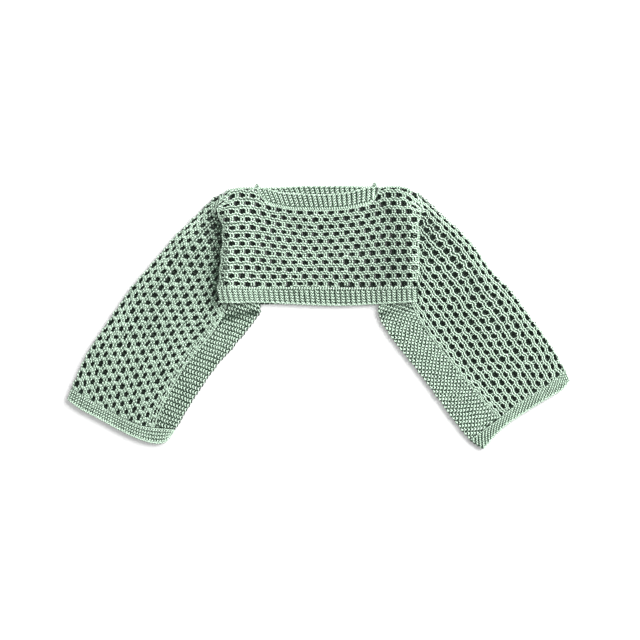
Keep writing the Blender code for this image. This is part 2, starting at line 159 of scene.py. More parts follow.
BACK_HEM_EDGE = [(-192, 46), (-173, 39), (-151, 31), (-133, 28), (-67, 29), (43, 25), (100, 28),
                 (138, 28), (155, 31), (177, 39), (196, 46)]
KNOTS = [(-135.3, 289.0), (123.2, 292.0)]     # where the ends of the neck's yarn are tied off

# ---- net stitches
# One repeat of the bar yarn, drawn for the pitches below, as (along the row, across it, height). A
# row's own middle is the line through its holes. The yarn starts behind the ridge under a bar, goes
# up the bar's straight leg, behind the next ridge over a hole, and down the next bar's bent leg.
ROW_PITCH = 15.64
HOLE_PITCH = 22.9
BAR_YARN = [(0.0, -8.4, -1.5), (1.4, -7.2, -1.1), (1.9, -5.2, -0.4), (3.9, -2.6, 0.3), (4.6, 0.2, 0.6),
            (3.9, 2.9, 0.4), (2.0, 5.3, -0.3), (3.6, 7.4, -1.1), (7.5, 8.0, -1.6), (12.5, 8.2, -1.7),
            (17.4, 7.6, -1.5), (19.5, 5.8, -0.6), (20.1, 3.0, 0.2), (20.9, 0.2, 0.5), (20.2, -2.8, 0.3),
            (19.6, -5.6, -0.4), (20.8, -7.8, -1.2)]
# a second pair of legs, wider apart and lower, fills out the bars of the closer net
WIDE_BAR_YARN = [(0.0, -8.6, -1.7), (4.0, -7.8, -1.3), (5.5, -4.6, -0.5), (5.3, -1.2, -0.1),
                 (6.3, 2.6, -0.1), (5.4, 5.6, -0.6), (7.6, 8.0, -1.6), (12.0, 8.5, -1.8),
                 (15.6, 7.2, -1.3), (17.6, 4.2, -0.4), (17.0, 0.8, 0.0), (18.0, -2.8, -0.1),
                 (17.3, -5.6, -0.6), (19.4, -8.0, -1.5)]
WIDE_BAR_DROP = 0.2
# each garter ridge shows two yarns side by side, which part and touch this often in a repeat
RIDGE_BEATS = 3
RIDGE_HEIGHT = 0.8
# sway of the ridges round the holes, half their spread, how much it changes, and how much closer they
# are on the right; how far a ridge on a fold swings out between its bars; how far the bars' legs draw
# together; the tone of the bars and of the ridges, and how much the latter changes
NetStyle = namedtuple("NetStyle", "sway spread change closer bulge pinch bar_tone ridge_tone contrast")
LEVEL_NET = NetStyle(0.9, 2.35, 0.85, 0.14, 0.0, 0.7, 0.38, 0.63, 0.42)
CLOSE_NET = NetStyle(0.6, 2.5, 0.9, 0.0, 1.3, 2.3, 0.34, 0.52, 0.40)
OPEN_NET = NetStyle(1.3, 2.5, 0.8, 0.0, 1.3, 0.4, 0.12, 0.76, 0.26)

# plan height of the lowest row of holes, the number of rows, and their pitch beside the neck
FIRST_ROW = 72.6
FRONT_ROWS = 13
WIDEST_PITCH = 17.7
SHEET_COLUMNS = 122
Sleeve = namedtuple("Sleeve", "rows spacing style bar_thickness ridge_thickness")
SLEEVES = {"left": Sleeve(13, 22.2, CLOSE_NET, 1.5, 1.12), "right": Sleeve(12, 21.4, OPEN_NET, 1.0, 1.0)}
# points a repeat of the net's bars and ridges
FRONT_POINTS = (16, 14)
BACK_POINTS = (9, 5)
SLEEVE_POINTS = (12, 12)
SLEEVE_UNDER_POINTS = (8, 5)
WIDE_BAR_POINTS = 10
FRONT_BAR_THICKNESS = 1.1

# ---- dense stitches
GARTER_STITCH = 5.8
RIB_STITCH = 5.7
RIB_LEAN = 0.7
LEG_STEP = 0.5          # a loop's two legs lie this far above and below its middle
STRIP_LOOP = 2.3        # half the height of a strip's loops
STRIP_POINTS = (8, 4)   # points a stitch of the upper and the under layer
CUFF_UNDER_POINTS = 4
# how far the loops of a course lean, and how far, in turns, they lie along from the next course's
LIE_LEFT = (0.9, 0.8)
LIE_RIGHT = (1.2, 0.0)
# slant of the courses; the painted shade of the crease beside the rumple, by its place down the strip, its
# # reach, its lean, its depth and its reach from the fold; and how much lighter the whole strip is, as
# painted light
Strip = namedtuple("Strip", "courses slant lie stitch crease_at reach lean depth inward lighter")
STRIPS = {
    "left": Strip(66, -0.29, LIE_LEFT, 7.3, 30.0, 8.0, 0.3, 0.7, math.inf, 0.0),
    "right": Strip(70, 0.52, LIE_RIGHT, GARTER_STITCH, 30.0, 7.0, 0.0, 0.5, 40.0, 0.11),
}
# where a cuff has a slant, its columns lean that far along from its seam to its free edge
Cuff = namedtuple("Cuff", "points width dim slant")
CUFFS = {"left": Cuff(7, 26.0, 0.02, 0.0), "right": Cuff(6, 22.0, 0.4, 32.0)}
CUFF_COURSES = 8
CUFF_STITCH = 4.6       # of the cuff with the slant
CUFF_LOOP = 1.8
CUFF_THICKNESS = 0.95
BAND_COURSES = 6
CORD_LAY = 11.4         # the turns of an edge's cord
SHORTEST_RUN = 4        # points in the shortest stretch of yarn that is kept

# ---- looks and view
PLIES = 3
PLY_LAY = 0.0046        # metres, the turns of the yarn's plies
# painted shade on the yarn's faces between the two layers of cloth, by height
PAINTED_SHADE_ABOVE = (2.6, 3.6)     # heights over which the dark between two layers of cloth begins
PAINTED_SHADE_BELOW = (8.8, 7.2)
CAMERA_HEIGHT = 8.0     # metres, as the next two
VIEW_WIDTH = 1.408
VIEW_MIDDLE = (0.0033, -0.0043)


# ---- curves and patches in the plan
def unit(vectors):
    return vectors / np.linalg.norm(vectors, axis=-1, keepdims=True)


def lengths_along(points):
    """How far along its run each point is."""
    return np.concatenate([[0.0], np.cumsum(np.linalg.norm(np.diff(points, axis=0), axis=1))])


def smooth_line(rows, by_x=False):
    """A smooth curve through the rows' points, run from 0 to 1 by length, or evenly along x."""
    points = np.array(rows, float)
    knots = points[:, 0] - points[0, 0] if by_x else lengths_along(points)
    knots /= knots[-1]
    index = np.arange(len(points))
    low, high = np.maximum(index - 1, 0), np.minimum(index + 1, len(points) - 1)
    slopes = (points[high] - points[low]) / (knots[high] - knots[low])[:, None]

    def at(t):
        t = np.asarray(t, float)
        i = np.clip(np.searchsorted(knots, t, side="right") - 1, 0, len(points) - 2)
        span = (knots[i + 1] - knots[i])[..., None]
        f = np.clip(t[..., None] - knots[i][..., None], -1.0, 2.0) / span
        return (points[i] * (2 * f**3 - 3 * f**2 + 1) + slopes[i] * (span * (f**3 - 2 * f**2 + f))
                + points[i + 1] * (3 * f**2 - 2 * f**3) + slopes[i + 1] * (span * (f**3 - f**2)))
    return at


def stretch_of(line, start, end):
    return lambda t: line(start + (end - start) * np.asarray(t, float))


def straight(start, end):
    return lambda t: start + (end - start) * np.asarray(t, float)[..., None]


def left_of(line, t):
    """The direction to the left of a curve's run."""
    run = unit(line(np.minimum(t + NUDGE, 1.0)) - line(np.maximum(t - NUDGE, 0.0)))
    return np.stack([-run[..., 1], run[..., 0]], axis=-1)


def beside(line, distance):
    """The same curve moved sideways, to the left of its run where the distance is positive."""
    return lambda t: line(t) + left_of(line, np.asarray(t, float)) * distance


def length_of(line):
    return float(lengths_along(line(np.linspace(0, 1, 80)))[-1])


def nearest(line, point):
    """Where along a curve, from 0 to 1, it comes closest to a point."""
    stops = np.linspace(0, 1, FINE_STOPS)
    return float(stops[np.argmin(np.linalg.norm(line(stops) - point, axis=1))])


def patch(start, end, near, far):
    """A Coons patch: near and far run along u at v = 0 and 1, start and end along v at u = 0 and 1."""
    corners = near(0.0), near(1.0), far(0.0), far(1.0)

    def at(u, v):
        side, over = np.asarray(u)[..., None], np.asarray(v)[..., None]
        along = near(u) * (1 - over) + far(u) * over
        across = start(v) * (1 - side) + end(v) * side
        shared = ((corners[0] * (1 - side) + corners[1] * side) * (1 - over)
                  + (corners[2] * (1 - side) + corners[3] * side) * over)
        return along + across - shared
    return at


def in_space(plan, height):
    return np.concatenate([plan, height[..., None]], axis=-1)


def ease(value, low, high):
    """0 at low, 1 at high and a soft S between, also where low is the larger."""
    f = np.clip((value - low) / (high - low), 0.0, 1.0)
    return f * f * (3 - 2 * f)


def bell(distance, size, reach):
    """A soft bump of that size round a distance of 0."""
    return size * np.exp(-(distance / reach) ** 2)


def across_at(rows, y):
    """The x of a side edge at a height in the plan."""
    table = np.array(rows, float)[::-1]
    return np.interp(y, table[:, 1], table[:, 0])


def beside_front(x, y):
    """How far in from the front's left and right edges a place is, both positive on the front."""
    return x - across_at(FRONT_SIDE["left"], y), across_at(FRONT_SIDE["right"], y) - x


def lift(x, y):
    """How far the front and its hem band stand up beside the armholes, where they lie on the sleeves."""
    reach = ROLL_REACH + (HEM_REACH - ROLL_REACH) * ease(y, HEM_Y + HEM_SPREAD, TUCK_Y)
    share = np.maximum(np.minimum(*beside_front(x, y)), 0.0) / reach
    step = ARMHOLE_STEP * ease(y, SHOULDER_Y, STEP_Y) * (1 - ease(share, ROLL_SHARE, 1.0))
    roll = ARMHOLE_ROLL * ease(y, SHOULDER_Y, ROLL_Y)
    return step + roll * np.sin(math.pi * np.minimum(share / ROLL_SHARE, 1.0)) ** 2


def upper_base(x, y):
    return UPPER_MID + lift(x, y)


def level_base(height):
    return lambda x, y: np.full(np.shape(x), height)


def side_inset(y, upper):
    """How far in from its side edge a panel's yarn ends: at the shoulders the front's runs over it."""
    return SIDE_INSET - (SHOULDER_REACH * ease(y, ROLL_Y, STEP_Y) if upper else 0.0)


def wobble(points, size):
    """Hand-made unevenness of places in the plan, the same on every run."""
    x, y = points[:, 0], points[:, 1]
    aside = (np.sin(x / 5.3 + 1.7 * np.sin(y / 11.0)) + np.sin(y / 6.1 + 1.3 * np.sin(x / 9.0) + 2.0)
             + 1.4 * np.sin(y / 29.0 + 1.6 * np.sin(x / 43.0)))
    up = (np.sin(y / 4.7 + 1.5 * np.sin(x / 13.0) + 1.0) + np.sin(x / 7.3 + 1.9 * np.sin(y / 8.0))
          + 1.8 * np.sin(x / 31.0 + 1.8 * np.sin(y / 37.0) + 0.7))
    return np.stack([aside, up, 0 * x], axis=1) * (size / 2)


def valley_shade(points):
    """Painted shade and light in the yarn's tone: how much darker the left sleeve is where it dips beside
    the front's edge, and how the front turns from the light and to it."""
    x, y = points[:, 0], points[:, 1]
    from_left, to_right = beside_front(x, y)
    left = np.where(from_left < 1.0, bell(from_left, *VALLEY_SHADE), bell(from_left, *EDGE_SHADE))
    right = np.where(to_right > 1.0, bell(to_right, *EDGE_LIGHT), 0.0)
    slope = np.where(x > -205.0, FRONT_PAINTED_SLOPE * np.clip(x / 150.0, -1.0, 1.0), 0.0)
    return (left * ease(y, 250.0, 195.0) * ease(y, 0.0, 50.0) + right * ease(y, 60.0, 70.0)
            + slope * ease(x, 185.0, 165.0))


# ---- yarn
def one_repeat(table, count):
    """A smooth repeat of a yarn, at count points spaced evenly by length."""
    points = np.array(table)
    total = len(points)
    fine = np.linspace(0, total, 40 * total, endpoint=False)
    i = np.floor(fine).astype(int)
    f = (fine - i)[:, None]

    def knot_at(index):
        laps = index // total
        return points[index % total] + np.stack([laps * HOLE_PITCH, laps * 0, laps * 0], axis=-1)

    before, here, after, beyond = (knot_at(i + step) for step in (-1, 0, 1, 2))
    line = here + 0.5 * f * ((after - before) + f * ((2 * before - 5 * here + 4 * after - beyond)
                                                     + f * (3 * (here - after) + beyond - before)))
    closed = np.vstack([line, line[:1] + [HOLE_PITCH, 0, 0]])
    return at_stops(closed, np.linspace(0, 1, count, endpoint=False))


def at_stops(points, shares):
    """Points of a polyline at those shares of its length."""
    run = lengths_along(points)
    return np.stack([np.interp(shares * run[-1], run, points[:, axis]) for axis in range(3)], axis=1)


def repeated(table, count, start, end, phase):
    """A yarn's points from start to end along its row, with the middle of a bar at the phase."""
    first = math.floor((start - phase) / HOLE_PITCH) - 1
    last = math.ceil((end - phase) / HOLE_PITCH) + 1
    points = np.tile(one_repeat(table, count), (last - first, 1))
    points[:, 0] += np.repeat(np.arange(first, last), count) * HOLE_PITCH + phase
    return points


def along_run(start, end, turn):
    return start + (end - start) * (turn - turn[0]) / (turn[-1] - turn[0])


def garter_course(start, end, count, loop, front_heads, lie, stitch=GARTER_STITCH):
    """A course of plain loops along its run: (along, across, height). The next course pulls their
    heads forward or back: two courses make a ridge."""
    lean, offset = lie
    laps = (end - start) / stitch
    turn = np.linspace(0, 2 * math.pi * laps, round(laps * count) + 1)
    turn += 2 * math.pi * (0 if front_heads else offset)
    along = along_run(start, end, turn) + lean * np.cos(turn)
    height = (LEG_STEP * np.sin(turn) - 0.95 * np.cos(turn)) * (1 if front_heads else -1)
    return np.stack([along, -loop * np.cos(turn), height], axis=1)


def rib_course(start, end, count, loop, stitch=RIB_STITCH):
    """A course of a rib: its stitches stand out in one column and sink in the next. Of each stitch's
    two legs the second lies on top, since the yarn twists them."""
    laps = 2 * round((end - start) / stitch / 2)
    turn = np.linspace(0, 2 * math.pi * laps, laps * count + 1)
    along = along_run(start, end, turn) + RIB_LEAN * np.cos(turn)
    height = 1.0 * np.sin(turn / 2) - 1.1 * np.sin(turn) * np.sin(turn / 2)
    return np.stack([along, -loop * np.cos(turn), height], axis=1)


def garter_tone(height):
    """Painted highlight on the bumps that stand out, painted shade where the yarn dips behind them."""
    return 1.3 * ease(height, -0.8, 0.9) - 0.31


def rib_tone(height):
    # painted highlight where the rib stands out, painted shade where it sinks
    return 0.61 + height / 1.75


def column_tone(height):
    """Painted highlight and shade by height, for columns so narrow that they need more contrast."""
    return 0.4 + 0.65 * height


def runs_of(points, tones, inside):
    """The stretches of a yarn that are inside its panel."""
    marks = np.flatnonzero(np.diff(np.concatenate([[0], inside.astype(int), [0]])))
    return [(points[start:end], tones[start:end]) for start, end in zip(marks[::2], marks[1::2])
            if end - start >= SHORTEST_RUN]


def edge_cord(points, radius, spacing=1.9, tone=0.55):
    """Strands twisted round a line, as a bound edge or a sewn seam looks."""
    length = lengths_along(points)[-1]
    shares = np.linspace(0, 1, max(int(length / spacing), 3) + 1)
    middle = at_stops(points, shares)
    run = unit(np.gradient(middle, axis=0))
    aside = unit(np.stack([-run[:, 1], run[:, 0], np.zeros(len(run))], axis=1))
    above = np.cross(run, aside)
    runs = []
    for strand in range(2):
        turn = 2 * math.pi * (shares * length / CORD_LAY + strand / 2)
        line = middle + radius * (np.cos(turn)[:, None] * aside + np.sin(turn)[:, None] * above)
        # painted highlight on the half of each turn that lies on top, painted shade on the half underneath
        runs.append((line, tone + 0.4 * np.sin(turn)))
    return runs


def knot(x, y):
    """A yarn's end tied off on the neck's edge: a small loop that stands up from it, with a turn of
    the yarn round its foot."""
    turn = np.linspace(-0.2, math.pi + 0.2, 18)
    loop = np.stack([x - 3.5 * np.cos(turn) + 0.8 * np.sin(turn), y - 4.0 + 6.6 * np.sin(turn),
                     UPPER_MID - 1.5 + 0.8 * np.cos(turn)], axis=1)
    turn = np.linspace(0, 2 * math.pi, 18)
    foot = np.stack([x - 3.4 * np.cos(turn), y - 2.6 + 1.6 * np.sin(turn),
                     UPPER_MID + 0.6 * np.sin(turn)], axis=1)
    return [(loop, 0.25 + 0.4 * np.cos(np.linspace(0, 9, 18))), (foot, 0.2 + 0.45 * np.sin(2 * turn))]


# ---- meshes
def select_only(*pieces):
    bpy.ops.object.select_all(action="DESELECT")
    for piece in pieces:
        piece.select_set(True)
    bpy.context.view_layer.objects.active = pieces[0]


def spin_yarn(runs, thickness, detail):
    """Tubes along the runs, each a pair of points and tones, as one mesh. detail 0 gives four sides."""
    curve = bpy.data.curves.new("yarn", "CURVE")
    curve.dimensions = "3D"
    curve.bevel_depth = thickness / 2 * MM
    curve.bevel_resolution = detail
    curve.use_fill_caps = True
    for points, _ in runs:
        spline = curve.splines.new("POLY")
        spline.points.add(len(points) - 1)
        placed = (points - PLAN_MIDDLE) * MM
        spline.points.foreach_set("co", np.column_stack([placed, np.ones(len(placed))]).ravel())
        spline.use_smooth = True
    piece = bpy.data.objects.new("yarn", curve)
    bpy.context.scene.collection.objects.link(piece)
    select_only(piece)
    bpy.ops.object.convert(target="MESH")
    piece = bpy.context.view_layer.objects.active
    sides = 4 + 2 * detail
    set_attribute(piece, "along", with_caps([lengths_along(points) * MM for points, _ in runs], sides))
    set_attribute(piece, "tone", with_caps([tones for _, tones in runs], sides))
    return piece


def with_caps(values, sides):
    """Values of the yarns' points for every corner of the tubes. The corners of the end caps come
    first, from the last yarn to the first, each with its far end before its near one."""
    caps = np.array([(run[-1], run[0]) for run in reversed(values)]).ravel()
    return np.repeat(np.concatenate([caps] + values), sides)


def set_attribute(piece, name, values):
    mesh = piece.data
    if len(values) != len(mesh.vertices):
        raise RuntimeError(f"{piece.name}: {len(values)} values for {len(mesh.vertices)} points")
    attribute = mesh.attributes.new(name, "FLOAT", "POINT")
    attribute.data.foreach_set("value", values.astype(np.float32))


def joined(name, parts, material):
    """The parts as one piece, with the ends of the yarns closed."""
    select_only(*parts)
    if len(parts) > 1:
        bpy.ops.object.join()
    piece = bpy.context.view_layer.objects.active
    piece.name = name
    piece.data.name = name
    bpy.ops.object.mode_set(mode="EDIT")
    bpy.ops.mesh.select_all(action="SELECT")
    bpy.ops.mesh.remove_doubles(threshold=CAP_MERGE)
    bpy.ops.object.mode_set(mode="OBJECT")
    piece.data.materials.clear()
    piece.data.materials.append(material)
    return piece


def values_of(items, name, width):
    values = np.empty(len(items) * width)
    items.foreach_get(name, values)
    return values.reshape(-1, width).T


def painted_shade_sheet(name, columns, rows, place, material, opening=None):
    """A dark sheet that stands for the painted shade between the yarns: a grid laid by place, open in the
    cells that opening names. The second result is its area with those openings filled."""
    bpy.ops.object.select_all(action="DESELECT")
    bpy.ops.mesh.primitive_grid_add(x_subdivisions=columns, y_subdivisions=rows, size=1.0)
    piece = bpy.context.view_layer.objects.active
    piece.name = name
    piece.data.name = name
    mesh = piece.data
    x, y, _ = values_of(mesh.vertices, "co", 3)
    centre_x, centre_y, _ = values_of(mesh.polygons, "center", 3)
    placed = place(np.rint((x + 0.5) * columns), np.rint((y + 0.5) * rows))
    mesh.vertices.foreach_set("co", ((placed - PLAN_MIDDLE) * MM).ravel())
    mesh.update()
    areas = values_of(mesh.polygons, "area", 1)[0]
    cut = areas < EMPTY_CELL
    area = float(areas[~cut].sum())
    if opening:
        cut |= opening(np.floor((centre_x + 0.5) * columns), np.floor((centre_y + 0.5) * rows))
    bpy.ops.object.mode_set(mode="EDIT")
    bpy.ops.mesh.select_mode(type="FACE")
    bpy.ops.mesh.select_all(action="DESELECT")
    bpy.ops.object.mode_set(mode="OBJECT")
    mesh.polygons.foreach_set("select", cut)
    bpy.ops.object.mode_set(mode="EDIT")
    if cut.any():
        bpy.ops.mesh.delete(type="FACE")
    bpy.ops.object.mode_set(mode="OBJECT")
    bpy.ops.object.shade_smooth()
    mesh.materials.append(material)
    return piece, area


def net_holes(along, j, spacing, below=0):
    """The cells of a net's sheet that are its holes: half of the cells of a repeat, in staggered
    rows, and two rows of cells out of four."""
    row = np.floor(j / 4) - below
    shifted = along - spacing / 2 * (1 - np.mod(row, 2)) + spacing / 4
    return (np.mod(shifted, spacing) < spacing / 2) & (np.mod(j, 4) > 0.5) & (np.mod(j, 4) < 2.5)


# ---- net panels
def row_level(x, row):
    """Plan height of a row of the front or back: rows spread out beside the neck and droop at the
    shoulders."""
    pitch = np.minimum(ROW_PITCH + 1.5 * (x / 125.0) ** 2, WIDEST_PITCH)
    droop = 0.011 * np.maximum(np.abs(x) - 170.0, 0.0) ** 2 * ease(row, 8.0, 12.0)
    return FIRST_ROW + pitch * row - droop


def top_level(neck, x):
    """The top edge of a panel: shoulder, neck seam, shoulder."""
    table = np.array(SHOULDER_LEFT + neck + SHOULDER_RIGHT, float)
    return np.interp(x, table[:, 0], table[:, 1])


class LevelPanel:
    """The front or the back: its rows run level, and they are counted up from the hem."""
    spacing = HOLE_PITCH
    first, last = -235.0, 235.0
    middle = 0.0        # where the holes of a row are, from its number
    style = LEVEL_NET

    def __init__(self, sides, neck, upper, phase):
        self.sides, self.neck, self.upper, self.phase = sides, neck, upper, phase

    def edges(self, y, further=0.0):
        """The x of the panel's left and right ends at a height in the plan."""
        inset = side_inset(y, self.upper) - further
        return across_at(self.sides["left"], y) + inset, across_at(self.sides["right"], y) - inset

    def place(self, x, row, height):
        point = np.stack([x, row_level(x, row), height], axis=1)
        x, y, _ = (point + wobble(point, LEVEL_WOBBLE)).T
        left, right = self.edges(y)
        inside = (x > left) & (x < right) & (y < top_level(self.neck, x) - 1.5) & (y > HEM_Y)
        z = upper_base(x, y) + height if self.upper else UNDER_MID - height * UNDER_FLATTEN
        return np.stack([x, y, z], axis=1), inside

    def ground(self, name, material):
        step = self.spacing / 6

        def place(i, j):
            x = (i - SHEET_COLUMNS / 2 + 0.5) * step + self.phase
            top = np.maximum(top_level(self.neck, x) - 1.0, HEM_Y)
            y = np.clip(row_level(x, j / 4 - 0.5), HEM_Y + 0.5, top)
            x = np.clip(x, *self.edges(y, 1.0))
            z = upper_base(x, y) - NET_SHEET_DROP if self.upper else np.full(len(x), UNDER_MID)
            return np.stack([x, y, z], axis=1)

        def opening(i, j):
            return net_holes((i - SHEET_COLUMNS / 2 + 1.0) * step, j, self.spacing)
        return painted_shade_sheet(name, SHEET_COLUMNS, 4 * FRONT_ROWS, place, material, opening)


class FoldedPanel:
    """A panel folded along one edge. A place on it is given by its share of the way from the top to
    the cuff, and by its row, counted from the fold: positive on the upper layer, negative below."""

    def __init__(self, side, fold, seam, top, cuff_seam, rows):
        self.side, self.rows = side, rows
        self.near = beside(smooth_line(fold), -side * FOLD_INSET)
        far = beside(smooth_line(seam), side * SEAM_INSET)
        start = smooth_line([tuple(self.near(0.0))] + top[1:] + [tuple(far(0.0))])
        cuff = smooth_line(cuff_seam)
        end = stretch_of(cuff, nearest(cuff, self.near(1.0)), nearest(cuff, far(1.0)))
        self.plan = patch(start, beside(end, -side * SEAM_INSET), self.near, far)
        self.stops = np.linspace(0, 1, 161)
        ends = self.plan(self.stops, 1 + 0 * self.stops) - self.plan(self.stops, 0 * self.stops)
        self.widths = np.linalg.norm(ends, axis=1)

    def surface(self, share, row):
        """A point of the mid-surface and its outward direction."""
        share = np.clip(share, 0.0, 1.0)
        width = np.interp(share, self.stops, self.widths)
        away = np.abs(row) / self.rows * (FOLD_LENGTH + width)
        over = np.minimum(np.maximum(away - FOLD_LENGTH, 0.0) / width, 1.0)
        turn = math.pi / 2 * (1 - np.minimum(away / FOLD_LENGTH, 1.0))
        turn = np.where(row < 0, math.pi - turn, turn)
        out = left_of(self.near, share) * self.side
        point = self.plan(share, over) + out * (FOLD_RADIUS * np.sin(turn))[..., None]
        height = LAYER_MID + FOLD_RADIUS * np.cos(turn) + self.rise(share) * (1 + np.cos(turn)) / 2
        return in_space(point, height), in_space(out * np.sin(turn)[..., None], np.cos(turn))

    def off_surface(self, share, row, height):
        point, normal = self.surface(share, row)
        flatten = 1 - (1 - UNDER_FLATTEN) * ease(-row, 0.1, 0.5)
        return point + normal * (height * flatten)[:, None] + wobble(point, FOLDED_WOBBLE)


class SleevePanel(FoldedPanel):
    """A net sleeve. Its yarn is placed by the distance along a row from the cuff."""
    middle = 0.5
    first = 0.0
    phase = 4.0
    table_step = 4.0

    def __init__(self, name):
        rows, self.spacing, self.style = SLEEVES[name][:3]
        super().__init__(SIDES[name], OUTER[name], STRIP_SEAM[name], INNER_END[name], CUFF_SEAM[name], rows)
        tables = []
        for level in range(4 * rows + 1):
            line = self.surface(self.stops, np.full(len(self.stops), level / 4))[0]
            tables.append(lengths_along(line[::-1, :2]))
        self.last = max(run[-1] for run in tables)
        reach = np.arange(0, self.last + 8 * self.table_step, self.table_step)
        self.table = np.array([np.interp(reach, run, self.stops[::-1])
                               - np.maximum(reach - run[-1], 0.0) / run[-1] for run in tables])

    def rise(self, share):
        """The front's side edge presses the sleeve down where it lies on it."""
        return -ARMHOLE_DIP * (1 - ease(share, *DIP_ENDS))

    def share(self, along, row):
        """The share along the panel of a point at a distance from the cuff, on its row."""
        level = np.clip(4 * np.abs(row), 0, 4 * self.rows - 0.001)
        place = np.clip(along / self.table_step, 0, self.table.shape[1] - 1.001)
        i, j = level.astype(int), place.astype(int)
        f, g = level - i, place - j
        return ((self.table[i, j] * (1 - g) + self.table[i, j + 1] * g) * (1 - f)
                + (self.table[i + 1, j] * (1 - g) + self.table[i + 1, j + 1] * g) * f)

    def place(self, along, row, height):
        share = self.share(along, row)
        inside = (share > 0.004) & (along > 0.5) & (np.abs(row) < self.rows - 0.06)
        return self.off_surface(share, row, height), inside

    def seam_cord(self, share, row, height, radius, tone):
        """A cord on the panel, along arrays of shares and rows."""
        point, normal = self.surface(*np.broadcast_arrays(share, row))
        return edge_cord(point + normal * height, radius, tone=tone)

    def ground(self, name, material):
        step = self.spacing / 6

        def place(i, j):
            along, row = (i - 0.5) * step + self.phase, j / 4 - self.rows
            share = np.where(i == 0, 1.0, np.clip(self.share(along, row), 0.0, 1.0))
            point, normal = self.surface(share, row)
            drop = np.where(row < -0.3, 0.0, NET_SHEET_DROP) + bell(row, 1.5, 0.7)
            return point - normal * drop[:, None]

        def opening(i, j):
            return net_holes(i * step, j, self.spacing, self.rows) & (i > 0)
        return painted_shade_sheet(name, int(self.last / step) + 2, 8 * self.rows, place, material, opening)


def phase_of(panel, row):
    return panel.phase + (panel.spacing / 2 if row % 2 else 0.0)


def bar_runs(panel, table, count, rows, lower=0.0):
    """The yarn of the bars between the holes, a row at a time, cut to the panel's outline."""
    runs = []
    stretch = panel.spacing / HOLE_PITCH
    for row in rows:
        phase = phase_of(panel, row) / stretch
        along, across, height = repeated(table, count, panel.first / stretch, panel.last / stretch, phase).T
        uneven = 1 + 0.5 * np.sin(along / 23.0 + row * 2.1)
        along = along - panel.style.pinch * uneven * np.sin(2 * math.pi * (along - phase) / HOLE_PITCH)
        height = height - lower
        points, inside = panel.place(along * stretch, row + panel.middle + across / ROW_PITCH, height)
        # painted highlight where the bar yarn rises and painted shade where it dips, less the painted
        # valley shade
        runs += runs_of(points, panel.style.bar_tone + height / 2.6 - valley_shade(points), inside)
    return runs


def ridge_runs(panel, count, rows):
    """The pair of yarns of each ridge over a row of holes."""
    runs = []
    style = panel.style
    for row in rows:
        along = np.arange(panel.first, panel.last, panel.spacing / count)
        turn = 2 * math.pi * (along - phase_of(panel, row)) / panel.spacing
        middle = -style.sway * np.cos(turn) * (1 + 0.4 * np.sin(along / 41.0 + row * 2.3))
        middle = middle + 0.8 * np.sin(along / 8.0 + row * 5.1) * np.sin(along / 31.0 - row * 3.3)
        spread = style.spread * (1.0 - style.closer * np.clip(along / 180.0, -1.0, 1.0))
        beat = RIDGE_BEATS * turn + 0.9 * np.sin(along / 29.0 + row)
        level = row + panel.middle + 0.5
        bulge = style.bulge * np.cos(turn) * math.exp(-level ** 2)
        for side in (-1, 1):
            across = middle + side * (spread - style.change * np.cos(beat))
            step = side * np.sin(beat + 0.5)
            lean = along + 0.9 * side * np.sin(beat)
            height = RIDGE_HEIGHT - 0.55 * step + bulge
            points, inside = panel.place(lean, level + across / ROW_PITCH, height)
            # painted highlight on the strand that lies higher, painted shade on the lower one, less the
            # painted valley shade
            runs += runs_of(points, style.ridge_tone - style.contrast * step - valley_shade(points), inside)
    return runs


def net_runs(panel, counts, rows, ridge_rows):
    return bar_runs(panel, BAR_YARN, counts[0], rows) + ridge_runs(panel, counts[1], ridge_rows)


# ---- dense panels
class StripPanel(FoldedPanel):
    """An underarm strip in garter stitch."""

    def __init__(self, name):
        self.look = STRIPS[name]
        super().__init__(-SIDES[name], UNDERARM[name], STRIP_SEAM[name], STRIP_TOP[name], CUFF_SEAM[name],
                         rows=10)

    def rise(self, share):
        return RUMPLE * (1 - ease(np.abs(share * STRIP_LENGTH - RUMPLE_AT) / RUMPLE_HALF, 0.0, 1.0))

    def runs(self, upper, count):
        """Courses across the strip. The upper ones run on round the fold, where the ridges stand out."""
        runs = []
        look = self.look
        for course in range(-3, look.courses + 4):
            stop = (course + 0.5) / look.courses
            width = float(np.interp(stop, self.stops, self.widths)) + FOLD_LENGTH
            start, end = (-4.0, width) if upper else (-width, -4.0)
            line = garter_course(start, end, count, STRIP_LOOP, course % 2 == 0, look.lie, look.stitch)
            across, along, height = line.T
            height = height * (1 + bell(across, 1.1, 7.0))
            share = stop + (along + look.slant * (np.abs(across) - width / 2)) / STRIP_LENGTH
            points = self.off_surface(share, across / width * self.rows, height)
            # painted shade in the crease below the rumple, less the painted light on the right strip
            aside = share * STRIP_LENGTH - look.crease_at - look.lean * np.abs(across)
            shade = bell(aside, look.depth, look.reach) * bell(across, 1.0, look.inward) - look.lighter
            runs += runs_of(points, garter_tone(height) - shade, (share > 0.003) & (share < 0.997))
        return runs

    def ground(self, name, material):
        columns, rows = 48, 24

        def place(i, j):
            row = j / rows * 2 - 1
            row = np.sign(row) * np.abs(row) ** 1.6 * self.rows
            point, normal = self.surface(i / columns, row)
            return point - normal * np.where(row < -0.3, 0.0, DENSE_SHEET_DROP)[:, None]
        return painted_shade_sheet(name, columns, rows, place, material)


